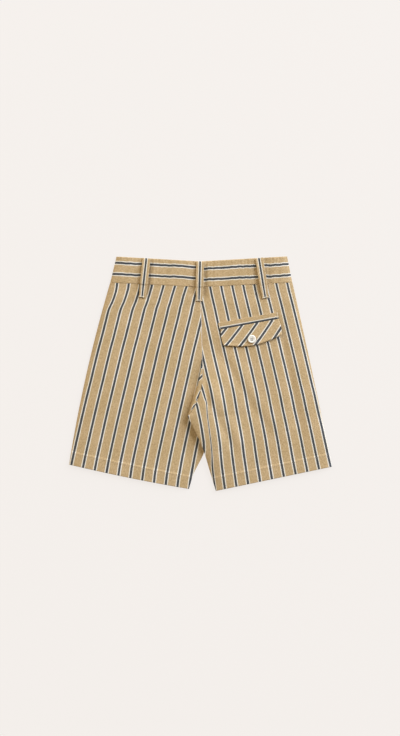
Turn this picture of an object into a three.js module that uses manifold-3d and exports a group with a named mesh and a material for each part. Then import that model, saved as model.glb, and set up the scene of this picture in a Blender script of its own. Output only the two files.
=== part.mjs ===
// Children's bermuda shorts in striped cotton drill, laid flat with the back facing up.
// Millimetres. +X is the garment's right as seen from behind, +Y runs from the hems to the waist,
// and +Z points up from the surface that the front panels rest on. The origin is the middle of the
// garment's outline, on that surface.
import * as THREE from 'three';
import { mergeVertices } from 'three/addons/utils/BufferGeometryUtils.js';
import Module from 'manifold-3d';

const wasm = await Module();
wasm.setup();

// Cloth: one layer of drill, the doubled and interfaced waistband, and the play between layers
const CLOTH = 1.0;
const BAND_CLOTH = 1.5;
const LAYER_GAP = 0.35;
const SEAM_GAP = 0.3;

// How far the back stands off the front where the garment is laid out, and how far in from a side
// edge it takes to get there. The centre seam holds the back down a little.
const PANEL_PUFF = 2.3;
const BAND_PUFF = 1.6;
const SIDE_ROLL = 22;
const BAND_ROLL = { reach: 16, flat: 2, drop: 0.2 };
const SEAM_HOLD = { share: 0.2, reach: 30 };

// Waistband, as laid: the two halves dip towards the centre back
const BAND = {
  topY: 168.0, topRise: 0.058, seamY: 129.6, seamRise: 0.05, centreX: -0.4,
  left: { topX: -125.9, seamX: -135.3 },
  right: { topX: 129.8, seamX: 137.7 },
};

// Side seams, x at a height y, as laid
const LEFT_SIDE = { x: -170.9, lean: 0.226, bow: 0.000255 };
const RIGHT_SIDE = { x: 168.0, lean: -0.2149, bow: -0.00005 };

// Hems, from the inseam corner to the side seam corner
const LEFT_HEM = { innerX: -17.4, innerY: -173.1, outerX: -197.0, outerY: -136.5, bow: 1.5 };
const RIGHT_HEM = { innerX: 23.0, innerY: -176.0, outerX: 197.0, outerY: -139.6, bow: 0 };

// The turned-up hem: the share of the panel's length that it takes, and its second layer
const HEM = { share: 0.073, extra: 0.3, bowPower: 8 };

// The centre back seam, from the waistband to the crotch point, which has flopped to the left
const CENTRE_SEAM = [
  { y: 129.6, x: -0.3 }, { y: 60.0, x: 1.8 }, { y: 20.0, x: 2.9 }, { y: 0.0, x: 3.0 },
  { y: -20.0, x: 1.3 }, { y: -34.0, x: -2.4 }, { y: -46.0, x: -7.2 }, { y: -56.0, x: -13.0 },
  { y: -63.8, x: -19.4 },
];
const CROTCH_Y = -63.8;

// The right leg's inner edge below the crotch point: over the left leg, then clear of it to the hem
const RIGHT_INSEAM = [
  { y: -63.8, x: -19.4 }, { y: -72.0, x: -15.4 }, { y: -82.0, x: -10.3 }, { y: -100.0, x: -1.7 },
  { y: -118.2, x: 5.6 }, { y: -141.8, x: 12.6 }, { y: -176.0, x: 23.0 },
];

// The left leg's inner edge: along the centre seam, under the right leg, then clear of it
const LEFT_EDGE = [
  { y: 129.6, x: -0.6 }, { y: 60.0, x: 1.5 }, { y: 20.0, x: 2.6 }, { y: 0.0, x: 2.7 },
  { y: -10.0, x: 2.3 }, { y: -30.0, x: 7.0 }, { y: -60.0, x: 10.5 }, { y: -92.0, x: 9.6 },
  { y: -118.2, x: 5.3 }, { y: -144.5, x: -7.6 }, { y: -151.0, x: -10.6 }, { y: -173.1, x: -17.4 },
];
const LEGS_PART_Y = -118.2;

// The fork of the left back, folded up over its own panel: the crease where it rolls under
const FORK_CREASE = [
  { y: 22.0, x: 1.7 }, { y: 1.5, x: -1.6 }, { y: -14.6, x: -4.7 }, { y: -28.4, x: -8.4 },
  { y: -43.1, x: -13.0 }, { y: -62.6, x: -18.9 },
];

// The low line of the left leg, where it sinks towards the fork and under the right leg
const LEFT_DIP = [
  { y: 40.0, x: 6.0 }, { y: 22.0, x: 1.7 }, { y: -28.4, x: -9.0 }, { y: -62.6, x: -19.5 },
  { y: -100.0, x: -26.0 }, { y: -130.0, x: -13.0 }, { y: -151.0, x: -10.6 }, { y: -173.1, x: -17.4 },
];
const DIP = { reach: 46, inset: 6 };

// Between these heights the laid-out back gives way to the flopped crotch
const CROTCH_FADE = { topY: 40, fullY: -10 };
const RIGHT_EDGE_ROLL = 30;

// The right leg rides over the left, and comes down to the surface beside it
const OVERLAP = { lift: 2.75, margin: 7, ramp: 26, topY: 40, fullY: -40, easeY: -96, footY: -176 };

// The thick meeting of the seams props the right leg up further, most along its inner edge
const PROP = { lift: 5.2, margin: 2, ramp: 98, topY: 40, fullY: -46, easeY: -60, footY: -176 };

// Soft folds of the back panels: a straight run, how wide, and how high (troughs are negative)
const RIGHT_FOLDS = [
  { fromX: 8, fromY: 62, toX: 116, toY: -110, width: 8, height: -1.0 },
  { fromX: -2, fromY: -12, toX: 58, toY: -132, width: 7, height: -1.2 },
  { fromX: 115, fromY: 92, toX: 156, toY: -118, width: 8, height: -1.2 },
  { fromX: 26, fromY: 56, toX: 134, toY: -112, width: 9, height: 0.6 },
  { fromX: 12, fromY: -2, toX: 71, toY: -130, width: 8, height: 0.8 },
  { fromX: 30, fromY: 110, toX: 118, toY: 96, width: 14, height: 0.4 },
];
const LEFT_FOLDS = [
  { fromX: -118, fromY: 124, toX: -150, toY: 84, width: 10, height: 0.7 },
  { fromX: -64, fromY: 96, toX: -96, toY: -60, width: 16, height: -0.5 },
  { fromX: -120, fromY: 40, toX: -142, toY: -90, width: 15, height: 0.4 },
  { fromX: -44, fromY: 70, toX: -66, toY: -110, width: 14, height: 0.4 },
];
const FOLD_ENDS = { fadeIn: 0.25, fadeOut: 0.3 };

// Belt loops, as laid: the top sits on the band's top edge, the foot is tacked below the band
const LOOP = {
  width: 11.8, taper: 0.16, taperFrom: 0.55, cloth: 1.1, bedGap: 0.3, aboveBand: 0.4,
  standOff: 1.3, bowPower: 0.7,
};
const LOOPS = [
  { name: 'belt_loop_left', topX: -80.7, footX: -87.3, footY: 113.4 },
  { name: 'belt_loop_centre', topX: -0.4, footX: -2.1, footY: 108.0 },
  { name: 'belt_loop_right', topX: 87.6, footX: 97.4, footY: 112.5 },
];

// Back pocket on the right: a welt with a buttoned flap hanging below it
const POCKET = { cornerX: 28.3, cornerY: 65.7, slant: 10.3, width: 90.2 };
const WELT = { depth: 9.9, cloth: 0.8, bedGap: 0.3 };
const FLAP = {
  sideDepth: 24.6, pointDepth: 32.6, roundness: 1.7, flare: 1.4, inset: 1.8, cloth: 1.1, bedGap: 0.35,
  droop: 0.6, droopFrom: 4, endLift: 1.0, endFrom: 0.86, endDepth: 14,
};
const BUTTON = { radius: 6.1, thick: 2.4, rim: 0.5, drop: 22.6, bedGap: 0.3 };
const BUTTON_HOLES = { count: 4, radius: 0.75, circle: 1.7, sides: 10 };
const BUTTON_SIDES = 28;

// Waist fastening at the centre front, sunk in the band so that the front lies flat
const WAIST_BUTTON = { radius: 7.5, thick: 1.4, rim: 0.3, x: 12, y: 149, pocket: 1.6, clearance: 0.4 };
const FASTENING = { reach: 30, fullTo: 21, extra: 1.0 };

// Grid of each wall: columns across and rows down. Those of the panels stand closer together
// towards the side edges, where the cloth rolls over, and at the turning of the hem.
const COLUMNS = { back: 20, frontLeft: 6, bandBack: 22, bandFront: 12, loop: 3, pocket: 22, fork: 4 };
const CROWDING = 0.7;
const ROWS = {
  forkTop: 14, crotch: 23, legsPart: 30, hemTurn: 35, count: 38, band: 4, loop: 16, welt: 2, flap: 7,
};
const HEM_TURN = { above: 0.006, below: 0.003 };
const FORK = { footGap: 0.4, edge: 0.2, seamOff: 0.24, crownOff: 0.6, roll: 0.5, leastWidth: 0.9 };

const DRILL = new THREE.MeshStandardMaterial({ color: 0xc9af87, roughness: 0.92, metalness: 0 });
const SHELL = new THREE.MeshStandardMaterial({ color: 0xf1eadb, roughness: 0.35, metalness: 0 });

const { lerp, clamp, smoothstep, degToRad } = THREE.MathUtils;

// x on a smooth line through the rows of a table that runs down the garment
function follow(rows, y) {
  let i = 0;
  while (i < rows.length - 2 && y < rows[i + 1].y) i++;
  const [before, a, b, after] = [rows[i - 1] ?? rows[i], rows[i], rows[i + 1], rows[i + 2] ?? rows[i + 1]];
  const span = b.y - a.y;
  const t = clamp((y - a.y) / span, 0, 1);
  const leanA = (b.x - before.x) / (b.y - before.y) * span;
  const leanB = (after.x - a.x) / (after.y - a.y) * span;
  return (2 * t ** 3 - 3 * t ** 2 + 1) * a.x + (t ** 3 - 2 * t ** 2 + t) * leanA
    + (3 * t ** 2 - 2 * t ** 3) * b.x + (t ** 3 - t ** 2) * leanB;
}

// A quarter round that rises from 0 at an edge to 1 at the reach
function roll(distance, reach) {
  return Math.sqrt(1 - (1 - clamp(distance / reach, 0, 1)) ** 2);
}

function sideX(side, y) {
  const edge = side === 'left' ? LEFT_SIDE : RIGHT_SIDE;
  return edge.x + edge.lean * y + edge.bow * y * y;
}

function bandTopY(x) {
  return BAND.topY + BAND.topRise * Math.abs(x - BAND.centreX);
}

function bandSeamY(x) {
  return BAND.seamY + BAND.seamRise * Math.abs(x - BAND.centreX);
}

function foldRelief(folds, x, y) {
  let height = 0;
  for (const fold of folds) {
    const [runX, runY] = [fold.toX - fold.fromX, fold.toY - fold.fromY];
    const length = Math.hypot(runX, runY);
    const along = ((x - fold.fromX) * runX + (y - fold.fromY) * runY) / length;
    const across = ((x - fold.fromX) * runY - (y - fold.fromY) * runX) / length;
    const fadeIn = smoothstep(along, 0, length * FOLD_ENDS.fadeIn);
    const fadeOut = 1 - smoothstep(along, length * (1 - FOLD_ENDS.fadeOut), length);
    height += fold.height * fadeIn * fadeOut * Math.exp(-((across / fold.width) ** 2));
  }
  return height;
}

function rightInnerX(y) {
  return y > CROTCH_Y ? follow(CENTRE_SEAM, y) : follow(RIGHT_INSEAM, y);
}

// One rise of the cloth: full close to an edge, easing off with the distance past it and at both ends
function liftPast(rise, past, y) {
  const gate = (1 - smoothstep(y, rise.fullY, rise.topY)) * smoothstep(y, rise.footY, rise.easeY);
  return rise.lift * gate * (1 - smoothstep(past - rise.margin, 0, rise.ramp));
}

// How far the right leg is held up by the left leg and the seams under it
function overlapLift(x, y) {
  const innerX = rightInnerX(y);
  const pastLeft = x - Math.max(follow(LEFT_EDGE, y), innerX);
  return liftPast(OVERLAP, pastLeft, y) + liftPast(PROP, x - innerX, y);
}

function seamShare(x, y) {
  return 1 - SEAM_HOLD.share * (1 - roll(Math.abs(x - follow(CENTRE_SEAM, y)), SEAM_HOLD.reach));
}

function crotchShare(y) {
  return 1 - smoothstep(y, CROTCH_FADE.fullY, CROTCH_FADE.topY);
}

function leftPuff(x, y) {
  const dip = roll(follow(LEFT_DIP, y) - DIP.inset - x, DIP.reach);
  const share = lerp(seamShare(x, y), dip, crotchShare(y));
  const edge = roll(x - sideX('left', y), SIDE_ROLL);
  return Math.max(0, (PANEL_PUFF + foldRelief(LEFT_FOLDS, x, y)) * share * edge);
}

function rightPuff(x, y) {
  const share = lerp(seamShare(x, y), roll(x - rightInnerX(y), RIGHT_EDGE_ROLL), crotchShare(y));
  const edge = roll(sideX('right', y) - x, SIDE_ROLL);
  return Math.max(0, (PANEL_PUFF + foldRelief(RIGHT_FOLDS, x, y)) * share * edge);
}

// Undersides of the two back panels and of the right front, above the surface
const leftBackZ = (x, y) => CLOTH + LAYER_GAP + leftPuff(x, y);
const rightBackZ = (x, y) => CLOTH + LAYER_GAP + overlapLift(x, y) + rightPuff(x, y);

function bandEdgeDistance(x, y) {
  const end = x < BAND.centreX ? BAND.left : BAND.right;
  const down = clamp((bandTopY(x) - y) / (BAND.topY - BAND.seamY), 0, 1);
  return Math.abs(lerp(end.topX, end.seamX, down)) - Math.abs(x);
}

function bandBackZ(x, y) {
  const lowest = BAND_CLOTH - BAND_ROLL.drop;
  const highest = BAND_CLOTH + LAYER_GAP + BAND_PUFF;
  return lerp(lowest, highest, roll(bandEdgeDistance(x, y) - BAND_ROLL.flat, BAND_ROLL.reach));
}

// Top of whatever a loop, welt or flap lies on
function outerZ(x, y) {
  if (y > bandSeamY(x)) return bandBackZ(x, y) + BAND_CLOTH;
  return (x < follow(CENTRE_SEAM, y) ? leftBackZ(x, y) : rightBackZ(x, y)) + CLOTH;
}

// A closed wall of cloth: place(u, v) gives the plan position, the underside and the top.
// u runs towards +X and v from the waist to the hem.
function clothWall(columns, rows, place) {
  const slab = new THREE.BoxGeometry(1, 1, 1, columns, rows, 1);
  slab.deleteAttribute('normal');
  slab.deleteAttribute('uv');
  const geometry = mergeVertices(slab);
  const corner = geometry.attributes.position;
  for (let i = 0; i < corner.count; i++) {
    const { x, y, under, top } = place(corner.getX(i) + 0.5, 0.5 - corner.getY(i));
    corner.setXYZ(i, x, y, corner.getZ(i) > 0 ? top : under);
  }
  return geometry;
}

function crowdEdges(u) {
  return lerp(u, 0.5 - 0.5 * Math.cos(Math.PI * u), CROWDING);
}

// Whole rows come out of a division, so they are compared with a little to spare
const ROUNDING = 1e-6;
const CROTCH_SHARE = rowShare(ROWS.crotch / ROWS.count);
const PART_SHARE = rowShare(ROWS.legsPart / ROWS.count);

// Share of the panel's length above a row
function rowShare(v) {
  const row = v * ROWS.count;
  const turn = 1 - HEM.share;
  if (row <= ROWS.hemTurn + ROUNDING) return (turn - HEM_TURN.above) * row / ROWS.hemTurn;
  return lerp(turn + HEM_TURN.below, 1, (row - ROWS.hemTurn - 1) / (ROWS.count - ROWS.hemTurn - 1));
}

// The second layer of the turned-up hem
function hemExtra(v) {
  return rowShare(v) > 1 - HEM.share ? HEM.extra : 0;
}

function innerRowY(share, bottom) {
  if (share <= CROTCH_SHARE) return lerp(BAND.seamY - SEAM_GAP, CROTCH_Y, share / CROTCH_SHARE);
  if (share <= PART_SHARE) {
    return lerp(CROTCH_Y, LEGS_PART_Y, (share - CROTCH_SHARE) / (PART_SHARE - CROTCH_SHARE));
  }
  return lerp(LEGS_PART_Y, bottom, (share - PART_SHARE) / (1 - PART_SHARE));
}

function hemBow(hem, u, v) {
  return -hem.bow * Math.sin(Math.PI * u) * v ** HEM.bowPower;
}

function leftPlan(u, v) {
  const share = rowShare(v);
  const innerY = innerRowY(share, LEFT_HEM.innerY);
  const outerY = lerp(bandSeamY(BAND.left.seamX) - SEAM_GAP, LEFT_HEM.outerY, share);
  const [outerX, innerX] = [sideX('left', outerY), follow(LEFT_EDGE, innerY)];
  const across = crowdEdges(u);
  return { x: lerp(outerX, innerX, across), y: lerp(outerY, innerY, across) + hemBow(LEFT_HEM, u, v) };
}

function rightPlan(u, v) {
  const share = rowShare(v);
  const innerY = innerRowY(share, RIGHT_HEM.innerY);
  const outerY = lerp(bandSeamY(BAND.right.seamX) - SEAM_GAP, RIGHT_HEM.outerY, share);
  const onSeam = share <= CROTCH_SHARE + ROUNDING;
  const innerX = onSeam ? follow(CENTRE_SEAM, innerY) + SEAM_GAP / 2 : follow(RIGHT_INSEAM, innerY);
  const across = crowdEdges(u);
  return { x: lerp(innerX, sideX('right', outerY), across), y: lerp(innerY, outerY, across) };
}

// A solid that manifold can cut and join, and back to a geometry
function toSolid(geometry) {
  const bare = geometry.clone();
  bare.deleteAttribute('normal');
  bare.deleteAttribute('uv');
  const merged = mergeVertices(bare, 1e-5);
  return new wasm.Manifold(new wasm.Mesh({
    numProp: 3,
    vertProperties: new Float32Array(merged.attributes.position.array),
    triVerts: new Uint32Array(merged.index.array),
  }));
}

function toGeometry(solid) {
  const mesh = solid.getMesh();
  const geometry = new THREE.BufferGeometry();
  geometry.setAttribute('position', new THREE.BufferAttribute(new Float32Array(mesh.vertProperties), 3));
  geometry.setIndex(new THREE.BufferAttribute(new Uint32Array(mesh.triVerts), 1));
  return geometry;
}

// The left back's fork: its folded layers as one rounded ridge from the crease to the centre seam
function forkRidge() {
  const footZ = CLOTH + LAYER_GAP + FORK.footGap;
  return clothWall(COLUMNS.fork, ROWS.crotch - ROWS.forkTop, (u, v) => {
    const row = lerp(ROWS.forkTop, ROWS.crotch, v);
    const y = innerRowY(rowShare(row / ROWS.count), RIGHT_HEM.innerY);
    const seamX = follow(CENTRE_SEAM, y) - FORK.seamOff;
    const creaseX = Math.min(follow(FORK_CREASE, y), seamX - FORK.leastWidth);
    const crown = rightBackZ(seamX + FORK.crownOff, y) + CLOTH;
    const top = lerp(footZ + FORK.edge, crown, roll(u, FORK.roll));
    return { x: lerp(creaseX, seamX, u), y, under: footZ, top };
  });
}

function makeBackLeft() {
  const panel = clothWall(COLUMNS.back, ROWS.count, (u, v) => {
    const { x, y } = leftPlan(u, v);
    const under = leftBackZ(x, y) + hemExtra(v);
    return { x, y, under, top: under + CLOTH + hemExtra(v) };
  });
  return toGeometry(toSolid(panel).add(toSolid(forkRidge())));
}

function makeBackRight() {
  return clothWall(COLUMNS.back, ROWS.count, (u, v) => {
    const { x, y } = rightPlan(u, v);
    const under = rightBackZ(x, y) + hemExtra(v);
    return { x, y, under, top: under + CLOTH + hemExtra(v) };
  });
}

function makeFrontLeft() {
  return clothWall(COLUMNS.frontLeft, ROWS.count, (u, v) => {
    const { x, y } = leftPlan(u, v);
    return { x, y, under: 0, top: CLOTH + hemExtra(v) };
  });
}

// The right front has the back's own grid, so that the two keep their distance where they are lifted
function makeFrontRight() {
  return clothWall(COLUMNS.back, ROWS.count, (u, v) => {
    const { x, y } = rightPlan(u, v);
    const under = overlapLift(x, y);
    return { x, y, under, top: under + CLOTH + hemExtra(v) };
  });
}

// One half of the waistband, from the centre back round the side fold to the centre front
function bandPlan(end, u, v) {
  const outwards = end === BAND.left ? 1 - u : u;
  const centre = BAND.centreX + (end === BAND.left ? -1 : 1) * SEAM_GAP / 2;
  const [topX, seamX] = [lerp(centre, end.topX, outwards), lerp(centre, end.seamX, outwards)];
  return { x: lerp(topX, seamX, v), y: lerp(bandTopY(topX), bandSeamY(seamX), v) };
}

function makeBandHalf(end) {
  const back = clothWall(COLUMNS.bandBack, ROWS.band, (u, v) => {
    const { x, y } = bandPlan(end, u, v);
    const under = bandBackZ(x, y);
    return { x, y, under, top: under + BAND_CLOTH };
  });
  const front = clothWall(COLUMNS.bandFront, 1, (u, v) => {
    const { x, y } = bandPlan(end, u, v);
    const near = 1 - smoothstep(Math.abs(x - BAND.centreX), FASTENING.fullTo, FASTENING.reach);
    return { x, y, under: 0, top: BAND_CLOTH + FASTENING.extra * near };
  });
  return toSolid(back).add(toSolid(front));
}

function makeWaistbandRight() {
  const { radius, clearance, pocket, x, y } = WAIST_BUTTON;
  const sink = new THREE.CylinderGeometry(radius + clearance, radius + clearance, 2 * pocket, BUTTON_SIDES);
  sink.rotateX(Math.PI / 2);
  sink.translate(x, y, 0);
  return toGeometry(makeBandHalf(BAND.right).subtract(toSolid(sink)));
}

// A belt loop: a strip that bows off the band between its two tacked ends
function makeLoop({ topX, footX, footY }) {
  const topY = bandTopY(topX) + LOOP.aboveBand;
  const run = new THREE.Vector2(footX - topX, footY - topY);
  const across = new THREE.Vector2(-run.y, run.x).normalize().multiplyScalar(LOOP.width);
  return clothWall(COLUMNS.loop, ROWS.loop, (u, v) => {
    const [middleX, middleY] = [topX + run.x * v, topY + run.y * v];
    const off = (u - 0.5) * (1 - LOOP.taper * smoothstep(v, LOOP.taperFrom, 1));
    const [x, y] = [middleX + across.x * off, middleY + across.y * off];
    const bed = Math.max(outerZ(x, y), outerZ(middleX, middleY));
    const under = bed + LOOP.bedGap + LOOP.standOff * Math.sin(Math.PI * v) ** LOOP.bowPower;
    return { x, y, under, top: under + LOOP.cloth };
  });
}

// Plan position of a point of the pocket: along its top edge and down from it
function pocketPlan(along, down) {
  const slant = degToRad(POCKET.slant);
  return {
    x: POCKET.cornerX + along * Math.cos(slant) + down * Math.sin(slant),
    y: POCKET.cornerY + along * Math.sin(slant) - down * Math.cos(slant),
  };
}

function makeWelt() {
  return clothWall(COLUMNS.pocket, ROWS.welt, (u, v) => {
    const { x, y } = pocketPlan(u * POCKET.width, (v - 1) * WELT.depth - SEAM_GAP);
    const under = outerZ(x, y) + WELT.bedGap;
    return { x, y, under, top: under + WELT.cloth };
  });
}

// Depth of the flap's lower edge below its top edge: shallow sides and a soft central point
function flapDepth(share) {
  return lerp(FLAP.pointDepth, FLAP.sideDepth, Math.abs(share * 2 - 1) ** FLAP.roundness);
}

function flapPlan(share, down) {
  const side = share * 2 - 1;
  const flare = FLAP.flare * side * Math.sin(Math.PI * down / flapDepth(share));
  return pocketPlan(lerp(FLAP.inset, POCKET.width, share) + flare, down);
}

// The flap droops clear of the panel towards its lower edge, and its outer end is lifted
function flapTopZ(share, down) {
  const { x, y } = flapPlan(share, down);
  const hang = FLAP.droop * smoothstep(down, FLAP.droopFrom, FLAP.sideDepth);
  const lifted = FLAP.endLift * smoothstep(share, FLAP.endFrom, 1) * smoothstep(down, 0, FLAP.endDepth);
  return outerZ(x, y) + FLAP.bedGap + hang + lifted + FLAP.cloth;
}

function makeFlap() {
  return clothWall(COLUMNS.pocket, ROWS.flap, (u, v) => {
    const down = v * flapDepth(u);
    const top = flapTopZ(u, down);
    return { ...flapPlan(u, down), under: top - FLAP.cloth, top };
  });
}

// A button's section from the middle of its underside to the middle of its well. Radius and height
// are shares of the button's, and the well is sunk below the top by a share of the rim.
const BUTTON_SECTION = [
  { radius: 0, height: 0, sunk: 0 }, { radius: 0.8, height: 0, sunk: 0 },
  { radius: 1, height: 0.45, sunk: 0 }, { radius: 0.96, height: 0.85, sunk: 0 },
  { radius: 0.84, height: 1, sunk: 0 }, { radius: 0.62, height: 1, sunk: 0.6 },
  { radius: 0.43, height: 1, sunk: 1 }, { radius: 0, height: 1, sunk: 1 },
];

// A round button with its underside at z = 0
function makeButton({ radius, thick, rim }) {
  const section = BUTTON_SECTION.map((point) => (
    new THREE.Vector2(point.radius * radius, point.height * thick - point.sunk * rim)));
  const disc = new THREE.LatheGeometry(section, BUTTON_SIDES);
  disc.rotateX(Math.PI / 2);
  let button = toSolid(disc);
  const { count, radius: holeRadius, circle, sides } = BUTTON_HOLES;
  for (let i = 0; i < count; i++) {
    const angle = (i + 0.5) * 2 * Math.PI / count;
    const drill = new THREE.CylinderGeometry(holeRadius, holeRadius, 3 * thick, sides);
    drill.rotateX(Math.PI / 2);
    drill.translate(circle * Math.cos(angle), circle * Math.sin(angle), 0);
    button = button.subtract(toSolid(drill));
  }
  return toGeometry(button);
}

// The pocket button rests on the highest place of the flap under it
function makePocketButton() {
  const { x, y } = pocketPlan(POCKET.width / 2, BUTTON.drop);
  const shareReach = BUTTON.radius / POCKET.width;
  const steps = [-1, 0, 1];
  const heights = steps.flatMap((across) => steps.map((down) => (
    flapTopZ(0.5 + across * shareReach, BUTTON.drop + down * BUTTON.radius))));
  const geometry = makeButton(BUTTON);
  geometry.translate(x, y, Math.max(...heights) + BUTTON.bedGap);
  return geometry;
}

function makeWaistButton() {
  const geometry = makeButton(WAIST_BUTTON);
  geometry.rotateX(Math.PI);
  geometry.translate(WAIST_BUTTON.x, WAIST_BUTTON.y, WAIST_BUTTON.thick);
  return geometry;
}

const shorts = new THREE.Group();

function addPiece(name, geometry, material) {
  const piece = new THREE.Mesh(geometry, material);
  piece.name = name;
  shorts.add(piece);
}

addPiece('front_left', makeFrontLeft(), DRILL);
addPiece('front_right', makeFrontRight(), DRILL);
addPiece('back_left', makeBackLeft(), DRILL);
addPiece('back_right', makeBackRight(), DRILL);
addPiece('waistband_left', toGeometry(makeBandHalf(BAND.left)), DRILL);
addPiece('waistband_right', makeWaistbandRight(), DRILL);
for (const loop of LOOPS) addPiece(loop.name, makeLoop(loop), DRILL);
addPiece('pocket_welt', makeWelt(), DRILL);
addPiece('pocket_flap', makeFlap(), DRILL);
addPiece('pocket_button', makePocketButton(), SHELL);
addPiece('waist_button', makeWaistButton(), SHELL);

export default shorts;
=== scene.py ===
# %% [markdown]
# Striped bermuda shorts, laid flat
#
# A small child's shorts in cotton drill lie on a pale table with their back up. The frame holds
# rigid solids for every cut piece. This scene lays a finer cloth wall on each of them, woven with
# dark stripes edged in cream, and then adds the sewing.

# %% Load the frame and keep its parts
import bpy
import math
import numpy as np
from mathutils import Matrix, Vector


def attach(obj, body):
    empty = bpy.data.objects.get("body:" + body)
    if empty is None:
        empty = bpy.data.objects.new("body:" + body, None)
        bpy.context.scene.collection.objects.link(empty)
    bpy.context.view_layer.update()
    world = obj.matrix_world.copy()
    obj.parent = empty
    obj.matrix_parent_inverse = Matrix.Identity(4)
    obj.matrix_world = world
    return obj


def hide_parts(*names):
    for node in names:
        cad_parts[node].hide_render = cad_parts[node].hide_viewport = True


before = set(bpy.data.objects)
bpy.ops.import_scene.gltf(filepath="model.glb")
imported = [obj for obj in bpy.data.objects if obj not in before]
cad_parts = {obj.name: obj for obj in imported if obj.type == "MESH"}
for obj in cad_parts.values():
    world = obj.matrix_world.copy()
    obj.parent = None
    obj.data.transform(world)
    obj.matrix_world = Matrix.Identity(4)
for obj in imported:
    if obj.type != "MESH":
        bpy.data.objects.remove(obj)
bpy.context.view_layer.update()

# %% [markdown]
# Camera
#
# The garment was seen from straight above, with a wide margin over and under it. A long lens high
# up keeps the outline free of perspective, and its focal length follows from the height of cloth
# and table that the picture takes in. All the sizes of cloth below are in millimetres.

# %% Camera straight above
MM = 0.001
MM_PER_PIXEL = 1.5
PICTURE_MM = 736 * MM_PER_PIXEL
CAMERA_HEIGHT_MM = 3000.0
VIEW_CENTRE_MM = (-0.75, 8.25)

camera_data = bpy.data.cameras.new("camera")
camera_data.lens = camera_data.sensor_width * CAMERA_HEIGHT_MM / PICTURE_MM
camera = bpy.data.objects.new("camera", camera_data)
camera.location = (VIEW_CENTRE_MM[0] * MM, VIEW_CENTRE_MM[1] * MM, CAMERA_HEIGHT_MM * MM)
bpy.context.scene.collection.objects.link(camera)
bpy.context.scene.camera = camera
print("lens", round(camera_data.lens, 1), "mm")

# %% [markdown]
# Helpers for curves of cloth
#
# A seam is a smooth line through a few rows of a short table, and a rolled edge is a quarter of an
# ellipse. Each helper takes whole arrays, so a panel of thirty thousand points is worked out at once.

# %% Curve helpers
def lerp(a, b, t):
    return a + (b - a) * t


def smooth(x, low, high):
    t = np.clip((x - low) / (high - low), 0, 1)
    return t * t * (3 - 2 * t)


def roll(distance, reach):
    return np.sqrt(1 - (1 - np.clip(distance / reach, 0, 1)) ** 2)


def follow(rows, y):
    """x on a smooth line through rows of (y, x) that run down the garment."""
    ys, xs = (np.array(column, float) for column in zip(*rows))
    lean = np.empty(len(ys))
    lean[1:-1] = (xs[2:] - xs[:-2]) / (ys[2:] - ys[:-2])
    lean[0] = (xs[1] - xs[0]) / (ys[1] - ys[0])
    lean[-1] = (xs[-1] - xs[-2]) / (ys[-1] - ys[-2])
    i = np.clip(np.searchsorted(-ys, -np.asarray(y, float), side="right") - 1, 0, len(ys) - 2)
    span = ys[i + 1] - ys[i]
    t = np.clip((y - ys[i]) / span, 0, 1)
    return (
        (2 * t**3 - 3 * t**2 + 1) * xs[i] + (t**3 - 2 * t**2 + t) * lean[i] * span
        + (3 * t**2 - 2 * t**3) * xs[i + 1] + (t**3 - t**2) * lean[i + 1] * span
    )


# %% [markdown]
# The laid-out shape
#
# The seams, folds and edges are those of the frame. The back panels stand a couple of
# millimetres off the front ones, roll down to them at the side seams, and have flopped over at the
# crotch, so that the right leg lies on the left one there.

# %% Sizes of the laid-out garment
CLOTH, BAND_CLOTH, LAYER_GAP, SEAM_GAP, BAND_SEAM_GAP = 1.0, 1.5, 0.35, 0.3, 0.04
PANEL_PUFF, BAND_PUFF, SIDE_ROLL, BAND_ROLL = 2.3, 1.6, 22.0, 16.0
BAND_TOP_Y, BAND_TOP_RISE, BAND_SEAM_Y, BAND_SEAM_RISE, BAND_CENTRE_X = 168.0, 0.058, 129.6, 0.05, -0.4
BAND_ENDS = {"left": (-125.9, -135.3), "right": (129.8, 137.7)}
LEFT_HEM = {"inner": (-17.4, -173.1), "outer": (-197.0, -136.5), "bow": 1.5}
RIGHT_HEM = {"inner": (23.0, -176.0), "outer": (197.0, -139.6), "bow": 0.0}
HEM_SHARE, HEM_EXTRA = 0.073, 0.3
CROTCH_Y, LEGS_PART_Y = -63.8, -118.2
CROTCH_SHARE, PART_SHARE = 0.6052, 0.7894
OVERLAP_LIFT, OVERLAP_MARGIN, OVERLAP_RAMP, OVERLAP_ENDS = 2.75, 7.0, 26.0, (40, -40, -96, -176)
PROP_LIFT, PROP_MARGIN, PROP_RAMP, PROP_ENDS = 5.2, 2.0, 98.0, (40, -46, -60, -176)
DIP_REACH = 46.0

# Each row is (y, x)
CENTRE_SEAM = [
    (129.6, -0.3), (60, 1.8), (20, 2.9), (0, 3.0), (-20, 1.3), (-34, -2.4), (-46, -7.2),
    (-56, -13.0), (-63.8, -19.4),
]
RIGHT_INSEAM = [
    (-63.8, -19.4), (-72, -15.4), (-82, -10.3), (-100, -1.7), (-118.2, 5.6), (-141.8, 12.6), (-176, 23.0),
]
LEFT_EDGE = [
    (129.6, -0.6), (60, 1.5), (20, 2.6), (0, 2.7), (-10, 2.3), (-30, 7.0), (-60, 10.5), (-92, 9.6),
    (-118.2, 5.3), (-144.5, -7.6), (-151, -10.6), (-173.1, -17.4),
]
FORK_CREASE = [(22, 1.7), (1.5, -1.6), (-14.6, -4.7), (-28.4, -8.4), (-43.1, -13.0), (-62.6, -18.9)]
LEFT_DIP = [
    (40, 6.0), (22, 1.7), (-28.4, -9.0), (-62.6, -19.5), (-100, -26.0), (-130, -13.0), (-151, -10.6),
    (-173.1, -17.4),
]


def side_x(side, y):
    if side == "left":
        return -170.9 + 0.226 * y + 0.000255 * y**2
    return 168.0 - 0.2149 * y - 0.00005 * y**2


def band_top_y(x):
    return BAND_TOP_Y + BAND_TOP_RISE * np.abs(x - BAND_CENTRE_X)


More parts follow.
